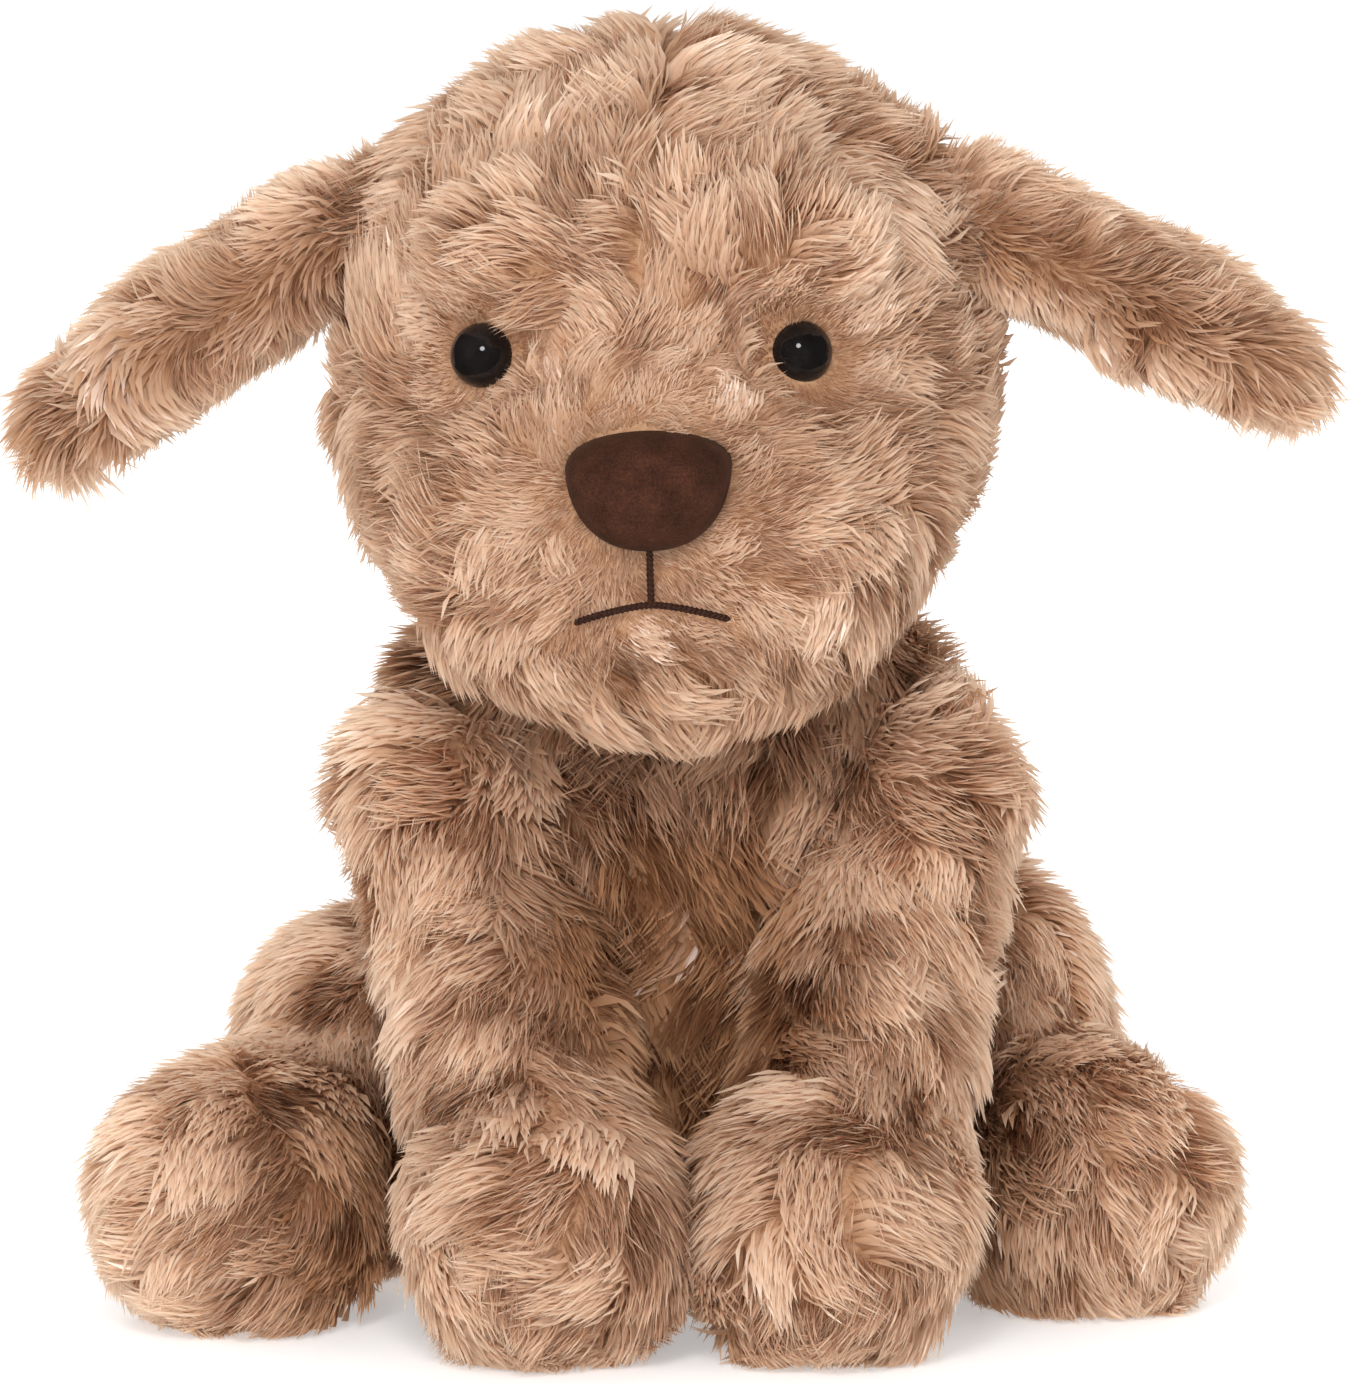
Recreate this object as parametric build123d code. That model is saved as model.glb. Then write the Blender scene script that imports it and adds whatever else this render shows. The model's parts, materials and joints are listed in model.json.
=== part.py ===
from build123d import *

# A seated plush dog, sewn from shaggy fur fabric panels over soft filling.
#
# Millimetres, +Z up. The dog faces -Y, so its own left side is +X. The origin is the middle of the flat
# seat that it sits on. Every skin is a set of sewn panels, each as thick as the fabric with its pile, around a
# separate filling. The head, ears, legs and tail turn on round roots that sit in round hollows.

import os
from math import asin, cos, radians, sin, sqrt

# ---------------------------------------------------------------- driving dimensions
PILE = 7.0  # fur fabric: backing and pile together
CRUSHED_PILE = 2.0  # the same fabric where it lies against a sewn-on limb
BACKING = 1.0  # woven backing alone
GAP = 0.5  # play between pieces that turn against each other
SEAM_GAP = 0.1  # play round a thread or a shank in its hole
BIG = 800.0  # larger than the whole toy, for cutting boxes

# torso: a belly ball that narrows to the neck ball, with a flat seat
BELLY, BELLY_R = (0.0, 0.0, 40.0), 47.0
NECK, NECK_R = (0.0, -22.0, 99.0), 26.0
NECK_GAP = 2.2  # the head's hollow is loose round the neck, so that it can nod

# head: a skull ball and a muzzle rounded from side to side, before the head is turned
SKULL, SKULL_R = (0.0, -23.0, 157.5), 52.0
MUZZLE_HALF, MUZZLE_Y, MUZZLE_Z, MUZZLE_R = 15.0, -58.0, 132.0, 29.5
HEAD_TURN, HEAD_ROLL = -5.0, -1.8  # the stored pose looks and leans a little to the dog's right
CHIN_Y, CHIN_Z = -40.0, 121.0  # the chin panel is in front of and below these planes

# eyes: safety eyes with a shank and a washer
EYE_X, EYE_Z = 24.3, 161.5
EYE_AXIS = (0.36, -0.93, 0.05)
EYE_R, EYE_RISE = 5.25, 5.0
EYE_STANDOFF = 2.5  # crushed pile under the eye's flange
EYE_OPENING = 20.0  # the opening over the eye reaches out through the whole pile
SHANK_R, SHANK_LENGTH = 1.5, 13.0
WASHER_R, WASHER_THICK, WASHER_SINK = 5.5, 1.2, 0.6

# nose: a padded suede patch
NOSE_Z, NOSE_BACK_Y = 143.5, -78.0
NOSE_TOP_W, NOSE_LOW_W, NOSE_H, NOSE_CORNER_R = 27.0, 12.0, 18.5, 3.4
NOSE_BULGE = ((0.0, -78.0, 143.5), (18.0, 14.5, 11.0))
NOSE_SKIN = 0.9
NOSE_SHOULDER, NOSE_TOP_FLAT = 0.5, 0.6  # where the outline is widest, and how flat its top is, as shares

# mouth: embroidered thread
THREAD_R = 0.5
MOUTH_Z, MOUTH_HALF, MOUTH_DROP = 125.3, 12.2, 2.8
MOUTH_BOW = 0.6  # how far each side bows above a straight line
THREAD_SINK = 1.2  # how far the thread lies below the pile's surface
MOUTH_TOP_GAP, MOUTH_SIDE_GAP = 0.8, 1.2  # room between the nose and the threads, and between the threads

# ears: two fabric layers each, hinged on a round root
EAR_ROOT, EAR_ROOT_R = (52.5, -22.0, 176.0), 8.5
EAR_LENGTH, EAR_ROOT_W, EAR_WIDE_W = 58.0, 24.0, 36.0
EAR_DROOP = {"left": 26.0, "right": 33.5}
EAR_EDGE_R = 7.0
EAR_POCKET_GAP = 1.5

# front legs: ball shoulder, tapered leg, round paw
SHOULDER, SHOULDER_R = (36.0, -30.0, 82.0), 20.5
FRONT_ANKLE, FRONT_ANKLE_R = (24.0, -70.0, 27.0), 19.5
FRONT_PAW, FRONT_PAW_R = (23.0, -78.0, 22.0), 22.5
LEG_SWING, LEG_SWING_STEPS = 25.0, 3  # the swing forward that the torso leaves room for
SWUNG_LESS = 0.02  # keeps each swung hollow's shoulder just inside the one before

# hind legs: a thigh that is round about the upright hip axis, a short shank and a round paw
HIP_X, HIP_Y = 48.0, -7.0
THIGH_LOW_Z, THIGH_LOW_R, THIGH_HIGH_Z, THIGH_HIGH_R = 25.0, 26.0, 40.0, 24.0
HIND_PAW = {"left": (66.5, -38.0, 20.7), "right": (-72.5, -47.0, 21.2)}  # one leg is spread more
HIND_PAW_R = {"left": 21.5, "right": 22.0}
HIND_SHANK_Z, HIND_SHANK_R = 30.0, 20.0

# tail
TAIL_ROOT, TAIL_ROOT_R = (0.0, 46.0, 24.0), 11.0
TAIL_TIP, TAIL_TIP_R, TAIL_BASE_R = (0.0, 70.0, 30.0), 9.0, 9.0

# pellet pouch in the seat: two cloth discs sewn round their edge
POUCH, POUCH_SKIN = ((0.0, 5.0, 20.0), (17.0, 21.0, 9.0)), 0.8

# thread round the neck and up the back seam
NECK_THREAD_R, NECK_THREAD_ANGLE, NECK_THREAD_SINK = 0.8, 60.0, 0.8
BACK_STITCHES, BACK_STITCH_LOW, BACK_STITCH_PITCH, BACK_STITCH_HALF = 9, 40.0, 3.0, 2.4

SIDES = (("left", 1), ("right", -1))


# ---------------------------------------------------------------- shape helpers
def ellipsoid(place, radii, less=0.0):
    """An ellipsoid at a place, with each radius made smaller by less."""
    return Pos(*place) * scale(Sphere(1.0), by=tuple(r - less for r in radii))


def ball(place, radius):
    return Pos(*place) * Sphere(radius)


def tapered_capsule(start, start_r, end, end_r):
    """Two balls and the cone that touches both, as one turned solid."""
    axis = Vector(*end) - Vector(*start)
    length = axis.length
    lean = asin((start_r - end_r) / length)
    low_turn, high_turn = (lean - radians(90)) / 2, (lean + radians(90)) / 2
    low = (start_r * cos(lean), start_r * sin(lean))
    high = (end_r * cos(lean), length + end_r * sin(lean))
    low_mid = (start_r * cos(low_turn), start_r * sin(low_turn))
    high_mid = (end_r * cos(high_turn), length + end_r * sin(high_turn))
    outline = [
        ThreePointArc((0, -start_r), low_mid, low),
        Line(low, high),
        ThreePointArc(high, high_mid, (0, length + end_r)),
        Line((0, length + end_r), (0, -start_r)),
    ]
    profile = make_face(Plane.XZ * Curve(children=outline))
    return Plane(origin=start, z_dir=axis).location * revolve(profile, Axis.Z)


def rod(start, direction, radius, length):
    """A round bar from start along direction."""
    ends = (Align.CENTER, Align.CENTER, Align.MIN)
    return Plane(origin=start, z_dir=direction).location * Cylinder(radius, length, align=ends)


def above(z):
    """Everything over a height."""
    return Pos(0, 0, z + BIG / 2) * Box(BIG, BIG, BIG)


def side_of(x, sign):
    """Everything to one side of an upright plane across X."""
    return Pos(x + sign * BIG / 2, 0, 0) * Box(BIG, BIG, BIG)


def mirrored(place, sign):
    return (place[0] * sign, place[1], place[2])


def turn_head(shape):
    """Turns and leans a piece of the head about the middle of the neck."""
    return Pos(*NECK) * Rot(0, 0, HEAD_TURN) * Rot(0, HEAD_ROLL, 0) * Pos(-NECK[0], -NECK[1], -NECK[2]) * shape


def write(name, shape):
    """Writes one node, always as its plain solids."""
    solids = list(shape.solids())
    export_step(solids[0] if len(solids) == 1 else Compound(children=solids), f"parts/{name}.step")


# ---------------------------------------------------------------- limbs
def front_leg(sign, less=0.0):
    """A front leg's outer form, or its filling's with less at PILE."""
    shoulder, ankle = mirrored(SHOULDER, sign), mirrored(FRONT_ANKLE, sign)
    leg = tapered_capsule(shoulder, SHOULDER_R - less, ankle, FRONT_ANKLE_R - less)
    return (leg + ball(mirrored(FRONT_PAW, sign), FRONT_PAW_R - less)) & above(less)


def swung_ankle(sign, degrees):
    """Where a front leg's ankle is when the leg has swung forward about its shoulder."""
    turn, (_, y, z) = radians(degrees), Vector(*FRONT_ANKLE) - Vector(*SHOULDER)
    forward = (FRONT_ANKLE[0], SHOULDER[1] + y * cos(turn) + z * sin(turn), SHOULDER[2] + z * cos(turn) - y * sin(turn))
    return mirrored(forward, sign)


def front_leg_hollows(sign, more):
    """The room for a front leg in the torso, at rest and while it swings forward."""
    shoulder = mirrored(SHOULDER, sign)
    for i in range(LEG_SWING_STEPS + 1):
        ankle = swung_ankle(sign, i * LEG_SWING / LEG_SWING_STEPS)
        spare = more - i * SWUNG_LESS
        yield tapered_capsule(shoulder, SHOULDER_R + spare, ankle, FRONT_ANKLE_R + spare)


def thigh(sign, more=0.0):
    """Round about the hip's upright axis, so that it can turn in its hollow."""
    low, high = (sign * HIP_X, HIP_Y, THIGH_LOW_Z), (sign * HIP_X, HIP_Y, THIGH_HIGH_Z)
    return tapered_capsule(low, THIGH_LOW_R + more, high, THIGH_HIGH_R + more)


def hind_leg(side, sign, less=0.0):
    shank_start = (sign * HIP_X, HIP_Y, HIND_SHANK_Z)
    shank = tapered_capsule(shank_start, HIND_SHANK_R - less, HIND_PAW[side], HIND_PAW_R[side] - less)
    return (thigh(sign, -less) + shank) & above(less)


def tail(less=0.0):
    cone = tapered_capsule(TAIL_ROOT, TAIL_BASE_R - less, TAIL_TIP, TAIL_TIP_R - less)
    return ball(TAIL_ROOT, TAIL_ROOT_R - less) + cone


def write_limb(name, outer, filling, split_x):
    """Two sewn panels and the filling of one limb, on a plane between the panels."""
    skin = outer - filling
    outward = 1 if split_x > 0 else -1
    write(f"{name}_outer_panel", skin & side_of(split_x, outward))
    write(f"{name}_inner_panel", skin & side_of(split_x, -outward))
    write(f"{name}_filling", filling)


# ---------------------------------------------------------------- torso
def torso_form(less=0.0):
    return tapered_capsule(BELLY, BELLY_R - less, NECK, NECK_R - less) & above(less)


def torso_hollows(more):
    """The round hollows for the tail, the shoulders and the thighs."""
    yield ball(TAIL_ROOT, TAIL_ROOT_R + more)
    for _, sign in SIDES:
        yield from front_leg_hollows(sign, more)
        yield thigh(sign, more)


def neck_thread_ring(tube_r):
    reach = NECK_R - NECK_THREAD_SINK
    high = NECK[2] + reach * cos(radians(NECK_THREAD_ANGLE))
    ring_r = reach * sin(radians(NECK_THREAD_ANGLE))
    return Pos(NECK[0], NECK[1], high) * Torus(ring_r, tube_r)


def back_stitches(radius):
    """The ladder stitches that close the toy once it is filled, across the middle of the back."""
    for i in range(BACK_STITCHES):
        z = BACK_STITCH_LOW + i * BACK_STITCH_PITCH
        reach = BELLY_R - PILE + BACKING
        y = BELLY[1] + sqrt(reach**2 - (z - BELLY[2]) ** 2)
        yield rod((-BACK_STITCH_HALF, y, z), (1, 0, 0), radius, 2 * BACK_STITCH_HALF)


def sewn_discs(outer, inner, middle_z):
    """An upper and a lower cloth layer round one filling."""
    skin = outer - inner
    return Compound(children=[*(skin & above(middle_z)).solids(), *(skin - above(middle_z)).solids()])


def build_torso():
    outer, filling = torso_form() - neck_thread_ring(NECK_THREAD_R + GAP), torso_form(PILE)
    for hollow in torso_hollows(GAP):
        outer = outer - hollow
    for hollow in torso_hollows(GAP + CRUSHED_PILE):
        filling = filling - hollow
    skin = outer - filling
    for stitch in back_stitches(THREAD_R + SEAM_GAP):
        skin = skin - stitch
    upper = skin & above(PILE)
    for side, sign in SIDES:
        write(f"torso_{side}_panel", upper & side_of(0, sign))
    write("seat_panel", skin - above(PILE))
    pouch, pellets = ellipsoid(*POUCH), ellipsoid(*POUCH, POUCH_SKIN)
    write("torso_filling", filling - pouch)
    write("pellet_pouch", sewn_discs(pouch, pellets, POUCH[0][2]))
    write("pellets", pellets)
    write("neck_thread", neck_thread_ring(NECK_THREAD_R))
    write("back_seam_thread", Compound(children=[s.solid() for s in back_stitches(THREAD_R)]))


# ---------------------------------------------------------------- head
def head_form(less=0.0):
    ends = [(sign * MUZZLE_HALF, MUZZLE_Y, MUZZLE_Z) for _, sign in SIDES]
    muzzle = tapered_capsule(ends[0], MUZZLE_R - less, ends[1], MUZZLE_R - less)
    return ball(SKULL, SKULL_R - less) + muzzle


def eye_seat(sign):
    """The point on the backing under an eye, and the eye's axis."""
    depth = sqrt((SKULL_R - PILE) ** 2 - EYE_X**2 - (EYE_Z - SKULL[2]) ** 2)
    axis = Vector(sign * EYE_AXIS[0], EYE_AXIS[1], EYE_AXIS[2]).normalized()
    return Vector(sign * EYE_X, SKULL[1] - depth, EYE_Z), axis


def eye(sign):
    backing, axis = eye_seat(sign)
    flange = backing + axis * EYE_STANDOFF
    dome = scale(Sphere(1.0), by=(EYE_R, EYE_R, EYE_RISE)) & above(0)
    return Plane(origin=flange, z_dir=axis).location * dome + rod(flange, -axis, SHANK_R, SHANK_LENGTH)


def eye_washer(sign):
    backing, axis = eye_seat(sign)
    disc = rod(backing - axis * WASHER_SINK, -axis, WASHER_R, WASHER_THICK)
    return disc - rod(backing, -axis, SHANK_R + SEAM_GAP, SHANK_LENGTH)


def eye_hole(sign):
    """The opening in the pile over an eye, and the room for its shank and washer."""
    backing, axis = eye_seat(sign)
    flange = backing + axis * EYE_STANDOFF
    opening = rod(flange, axis, EYE_R + SEAM_GAP, EYE_OPENING)
    shank = rod(flange, -axis, SHANK_R + SEAM_GAP, SHANK_LENGTH + SEAM_GAP)
    washer = rod(backing, -axis, WASHER_R + SEAM_GAP, WASHER_SINK + WASHER_THICK + SEAM_GAP)
    return opening + shank + washer


def nose_form(less=0.0):
    """A rounded trapezoid, wide at the top, with a bulging front."""
    half_h, top, low = NOSE_H / 2 - less, NOSE_TOP_W / 2 - less, NOSE_LOW_W / 2 - less
    right = [(low, -half_h), (top, half_h * NOSE_SHOULDER), (top * NOSE_TOP_FLAT, half_h)]
    corners = right + [(-x, z) for x, z in reversed(right)]
    sketch = make_face(Polyline(*corners, close=True))
    sketch = fillet(sketch.vertices(), NOSE_CORNER_R - less)
    block = extrude(Plane.XZ * sketch, 2 * NOSE_BULGE[1][1])
    return Pos(0, NOSE_BACK_Y - less, NOSE_Z) * block & ellipsoid(*NOSE_BULGE, less)


def mouth_point(x, z):
    """A point on the front of the muzzle, where a thread lies in the pile."""
    return (x, MUZZLE_Y - sqrt(MUZZLE_R**2 - (z - MUZZLE_Z) ** 2) + THREAD_SINK, z)


def mouth_threads(radius):
    """The thread below the nose and one to each side, by node name."""
    high, low = NOSE_Z - NOSE_H / 2 - MOUTH_TOP_GAP, MOUTH_Z
    routes = {"lip_thread": [(0, high), (0, (high + low) / 2), (0, low)]}
    for side, sign in SIDES:
        side_z = low - MOUTH_SIDE_GAP
        start, end = (sign * MOUTH_SIDE_GAP, side_z), (sign * MOUTH_HALF, side_z - MOUTH_DROP)
        middle = ((start[0] + end[0]) / 2, (start[1] + end[1]) / 2 + MOUTH_BOW)
        routes[f"mouth_thread_{side}"] = [start, middle, end]
    for name, route in routes.items():
        path = ThreePointArc(*[mouth_point(x, z) for x, z in route])
        section = Plane(origin=path @ 0, z_dir=path % 0) * Circle(radius)
        yield name, sweep(section, path)


def ear_pocket(sign):
    """The room for an ear's round root in the side of the head."""
    half = EAR_ROOT_W / 2 + GAP
    start = (sign * EAR_ROOT[0], EAR_ROOT[1] - half, EAR_ROOT[2])
    return rod(start, (0, 1, 0), EAR_ROOT_R + EAR_POCKET_GAP, 2 * half)


def build_head():
    outer, filling = head_form(), head_form(PILE)
    nose, padding = nose_form(), nose_form(NOSE_SKIN)
    for room in (ball(NECK, NECK_R + NECK_GAP), nose, eye_hole(1), eye_hole(-1)):
        outer, filling = outer - room, filling - room
    skin = outer - filling - ear_pocket(1) - ear_pocket(-1)
    for _, groove in mouth_threads(THREAD_R + SEAM_GAP):
        skin = skin - groove
    chin_block = Pos(0, CHIN_Y - BIG / 2, CHIN_Z - BIG / 2) * Box(BIG, BIG, BIG)
    face = skin - chin_block
    for side, sign in SIDES:
        write(f"head_{side}_panel", turn_head(face & side_of(0, sign)))
        write(f"eye_{side}", turn_head(eye(sign)))
        write(f"eye_washer_{side}", turn_head(eye_washer(sign)))
    write("chin_panel", turn_head(skin & chin_block))
    write("head_filling", turn_head(filling))
    write("nose_cover", turn_head(nose - padding))
    write("nose_padding", turn_head(padding))
    for name, line in mouth_threads(THREAD_R):
        write(name, turn_head(line))


# ---------------------------------------------------------------- ears
def ear_flap():
    """One ear lying flat, its root on the Y axis and its tip along +X."""
    root, wide = EAR_ROOT_W / 2, EAR_WIDE_W / 2
    tip_x = EAR_LENGTH - wide
    outline = [
        Line((0, -root), (tip_x, -wide)),
        ThreePointArc((tip_x, -wide), (EAR_LENGTH, 0), (tip_x, wide)),
        Line((tip_x, wide), (0, root)),
        Line((0, root), (0, -root)),
    ]
    slab = extrude(make_face(Curve(children=outline)), EAR_ROOT_R, both=True)
    rims = slab.edges().filter_by(lambda e: abs(e.center().Z) > EAR_ROOT_R / 2 and e.center().X > EAR_EDGE_R / 2)
    return fillet(rims, EAR_EDGE_R)


def build_ear(side, sign):
    ear = ear_flap() + rod((0, -EAR_ROOT_W / 2, 0), (0, 1, 0), EAR_ROOT_R, EAR_ROOT_W)
    layers = (("upper", ear & above(0)), ("lower", ear - above(0)))
    for layer, part in layers:
        outward = part if sign > 0 else Rot(0, 0, 180) * part
        lowered = Rot(0, sign * EAR_DROOP[side], 0) * outward
        write(f"ear_{side}_{layer}_layer", turn_head(Pos(*mirrored(EAR_ROOT, sign)) * lowered))


# ---------------------------------------------------------------- everything
def main():
    os.makedirs("parts", exist_ok=True)
    build_torso()
    build_head()
    for side, sign in SIDES:
        build_ear(side, sign)
        leg_split = sign * (SHOULDER[0] + FRONT_ANKLE[0]) / 2
        write_limb(f"front_leg_{side}", front_leg(sign), front_leg(sign, PILE), leg_split)
        thigh_split = (sign * HIP_X + HIND_PAW[side][0]) / 2
        write_limb(f"hind_leg_{side}", hind_leg(side, sign), hind_leg(side, sign, PILE), thigh_split)
    write("tail_panel", tail() - tail(PILE))
    write("tail_filling", tail(PILE))


main()
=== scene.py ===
"""The plush dog's looks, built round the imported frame.

Every furry part is a smooth skin, worked out from a few rounded forms, and locks of fibre that grow
from it. Lengths are in metres. The dog faces -Y, and the frame's origin is the middle of its seat.
"""
import json
import math
import bmesh
import bpy
import numpy as np
from mathutils import Matrix, Vector
from mathutils.kdtree import KDTree


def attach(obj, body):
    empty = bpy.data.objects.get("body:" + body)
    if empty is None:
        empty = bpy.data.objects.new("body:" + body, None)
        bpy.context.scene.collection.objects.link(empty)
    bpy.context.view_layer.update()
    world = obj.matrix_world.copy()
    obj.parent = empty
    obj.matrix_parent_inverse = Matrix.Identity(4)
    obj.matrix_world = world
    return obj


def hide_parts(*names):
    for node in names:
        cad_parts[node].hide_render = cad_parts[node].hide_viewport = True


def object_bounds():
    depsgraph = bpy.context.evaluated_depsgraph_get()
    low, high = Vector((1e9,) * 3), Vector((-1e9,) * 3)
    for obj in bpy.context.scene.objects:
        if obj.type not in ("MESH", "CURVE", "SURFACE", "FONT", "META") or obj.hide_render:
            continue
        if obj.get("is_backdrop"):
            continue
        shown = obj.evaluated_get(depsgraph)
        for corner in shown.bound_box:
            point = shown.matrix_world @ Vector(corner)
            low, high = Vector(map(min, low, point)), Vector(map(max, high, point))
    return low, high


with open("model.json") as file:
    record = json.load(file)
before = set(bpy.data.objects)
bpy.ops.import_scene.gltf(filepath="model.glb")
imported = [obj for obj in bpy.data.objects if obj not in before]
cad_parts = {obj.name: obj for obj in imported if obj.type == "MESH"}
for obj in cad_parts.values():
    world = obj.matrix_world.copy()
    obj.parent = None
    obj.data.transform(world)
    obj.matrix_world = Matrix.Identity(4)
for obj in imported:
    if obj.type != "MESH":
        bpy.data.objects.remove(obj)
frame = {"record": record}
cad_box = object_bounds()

MM = 0.001
SIDES = (("left", 1), ("right", -1))

# ------------------------------------------------------------------ sizes shared by the pieces
SKIN_INSET = 5.5 * MM  # from the fibres' outline to the backing
NECK = np.array([0.0, -22.0, 99.0]) * MM
HEAD_TURN, HEAD_ROLL = math.radians(-5.0), math.radians(-1.8)
EYE_R = 5.25 * MM
NOSE_Z = 143.5 * MM
NOSE_DROP = 1.3 * MM  # the patch's middle below NOSE_Z
EAR_ROOTS = {"left": (52.5, -22.0, 175.2), "right": (-52.5, -22.0, 176.0)}  # in millimetres
EAR_DROOPS = {"left": 26.4, "right": 30.4}  # in degrees below level
EAR_CURVE = 0.9  # times the square of the distance along an ear, this is how far it has sagged
MOUTH_Z = 125.3 * MM
FLOOR_GAP = 0.3 * MM


# ------------------------------------------------------------------ small maths
def unit(v):
    return v / np.maximum(np.linalg.norm(v, axis=-1, keepdims=True), 1e-12)


def dot(a, b):
    return np.sum(a * b, axis=-1, keepdims=True)


def turned_head(points, inverse=False):
    """Head points turned and leaned about the neck to where the stored pose has them."""
    a, r = HEAD_TURN, HEAD_ROLL
    turn = np.array([[math.cos(a), -math.sin(a), 0], [math.sin(a), math.cos(a), 0], [0, 0, 1]])
    lean = np.array([[math.cos(r), 0, math.sin(r)], [0, 1, 0], [-math.sin(r), 0, math.cos(r)]])
    both = turn @ lean
    return (np.asarray(points) - NECK) @ (both if inverse else both.T) + NECK


def waves(points, length, seed, count=6):
    """Smooth seeded noise from -1 to 1, with features about this long."""
    rng = np.random.default_rng(seed)
    total = np.zeros(len(points))
    for _ in range(count):
        way = unit(rng.normal(size=3))
        total += np.sin(points @ way * (2 * math.pi / length) * rng.uniform(0.7, 1.4) + rng.uniform(0, 6.3))
    return total / math.sqrt(count) * 0.9


# ------------------------------------------------------------------ forms as distance functions
def blob(centre, radii):
    """An ellipsoid's distance function; radii may be one number."""
    centre, radii = np.array(centre) * MM, np.broadcast_to(np.array(radii, float) * MM, 3)

    def distance(p, inset):
        q, r = p - centre, radii - inset
        near, far = np.linalg.norm(q / r, axis=1), np.linalg.norm(q / r**2, axis=1)
        return near * (near - 1) / np.maximum(far, 1e-9)

    distance.seeds = [(centre, radii)]
    return distance


def limb(start, start_r, end, end_r):
    """The distance function of two balls and the cone that touches both."""
    a, b = np.array(start) * MM, np.array(end) * MM
    length = np.linalg.norm(b - a)
    taper = (start_r - end_r) * MM / length
    lean = taper / math.sqrt(1 - taper**2)

    def distance(p, inset):
        reach = (p - a) @ (b - a) / length
        side = np.sqrt(np.maximum(np.sum((p - a) ** 2, axis=1) - reach**2, 0))
        along = np.clip((reach - side * lean) / length, 0, 1)
        radius = (start_r + (end_r - start_r) * along) * MM - inset
        return np.linalg.norm(p - a - along[:, None] * (b - a), axis=1) - radius

    steps = np.linspace(0, 1, 6)
    distance.seeds = [(a + (b - a) * t, np.full(3, start_r + (end_r - start_r) * t) * MM) for t in steps]
    return distance


def joined(forms, round_over, inset):
    """The smooth union of several forms, as one distance function."""
    k = round_over * MM

    def distance(p):
        parts = np.stack([form(p, inset) for form in forms])
        low = parts.min(axis=0)
        return low - k * np.log(np.exp(-(parts - low) / k).sum(axis=0))

    return distance


def slope(distance, p, step=0.2 * MM):
    grads = [distance(p + step * axis) - distance(p - step * axis) for axis in np.eye(3)]
    return unit(np.stack(grads, axis=1))


# ------------------------------------------------------------------ meshes
def link(name, mesh):
    piece = bpy.data.objects.new(name, mesh)
    bpy.context.scene.collection.objects.link(piece)
    return piece


def skin_mesh(name, forms, round_over, inset, voxel, place=None, floor=None):
    """A closed, even mesh on the smooth union of the forms."""
    distance = joined(forms, round_over, inset)
    rough = bmesh.new()
    for form in forms:
        for centre, radii in form.seeds:
            placed = Matrix.Translation(centre) @ Matrix.Diagonal((*(radii - inset), 1))
            bmesh.ops.create_icosphere(rough, subdivisions=4, radius=1, matrix=placed)
    mesh = bpy.data.meshes.new(name)
    rough.to_mesh(mesh)
    rough.free()
    piece = link(name, mesh)
    remesh = piece.modifiers.new("even", "REMESH")
    remesh.mode, remesh.voxel_size = "VOXEL", voxel * MM
    even = bpy.data.meshes.new_from_object(piece.evaluated_get(bpy.context.evaluated_depsgraph_get()))
    piece.modifiers.clear()
    piece.data = even
    p = np.empty(len(even.vertices) * 3)
    even.vertices.foreach_get("co", p)
    p = p.reshape(-1, 3)
    for _ in range(5):
        p -= slope(distance, p) * np.clip(distance(p), -2 * MM, 2 * MM)[:, None]
    if floor is not None:
        p[:, 2] = np.maximum(p[:, 2], floor)
    if place is not None:
        p = place(p)
    even.vertices.foreach_set("co", p.ravel())
    even.polygons.foreach_set("use_smooth", np.ones(len(even.polygons), bool))
    even.update()
    return piece


def surface(piece):
    """A mesh's triangles as corner places, corner normals and areas."""
    mesh = piece.data
    mesh.calc_loop_triangles()
    tri = np.empty(len(mesh.loop_triangles) * 3, int)
    mesh.loop_triangles.foreach_get("vertices", tri)
    co, no = np.empty(len(mesh.vertices) * 3), np.empty(len(mesh.vertices) * 3)
    mesh.vertices.foreach_get("co", co)
    mesh.vertex_normals.foreach_get("vector", no)
    tri, co, no = tri.reshape(-1, 3), co.reshape(-1, 3), no.reshape(-1, 3)
    corners, normals = co[tri], no[tri]
    area = np.linalg.norm(np.cross(corners[:, 1] - corners[:, 0], corners[:, 2] - corners[:, 0]), axis=1) / 2
    return corners, normals, area


def scattered(faces, count, rng):
    """Random points on a surface, with its normals there."""
    corners, normals, area = faces
    pick = rng.choice(len(area), count, p=area / area.sum())
    u, v = rng.random(count), rng.random(count)
    flip = u + v > 1
    u[flip], v[flip] = 1 - u[flip], 1 - v[flip]
    weights = np.stack([1 - u - v, u, v], axis=1)[..., None]
    return (corners[pick] * weights).sum(axis=1), unit((normals[pick] * weights).sum(axis=1))


def tree_of(points):
    tree = KDTree(len(points))
    for i, point in enumerate(points):
        tree.insert(point, i)
    tree.balance()
    return tree


def spaced(points, radii):
    """The points that are kept when each keeps the others at its radius."""
    tree = tree_of(points)
    blocked, kept = np.zeros(len(points), bool), []
    for i, (point, radius) in enumerate(zip(points, radii)):
        if not blocked[i]:
            kept.append(i)
            for _, j, _ in tree.find_range(point, radius):
                blocked[j] = True
    return np.array(kept)


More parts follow.
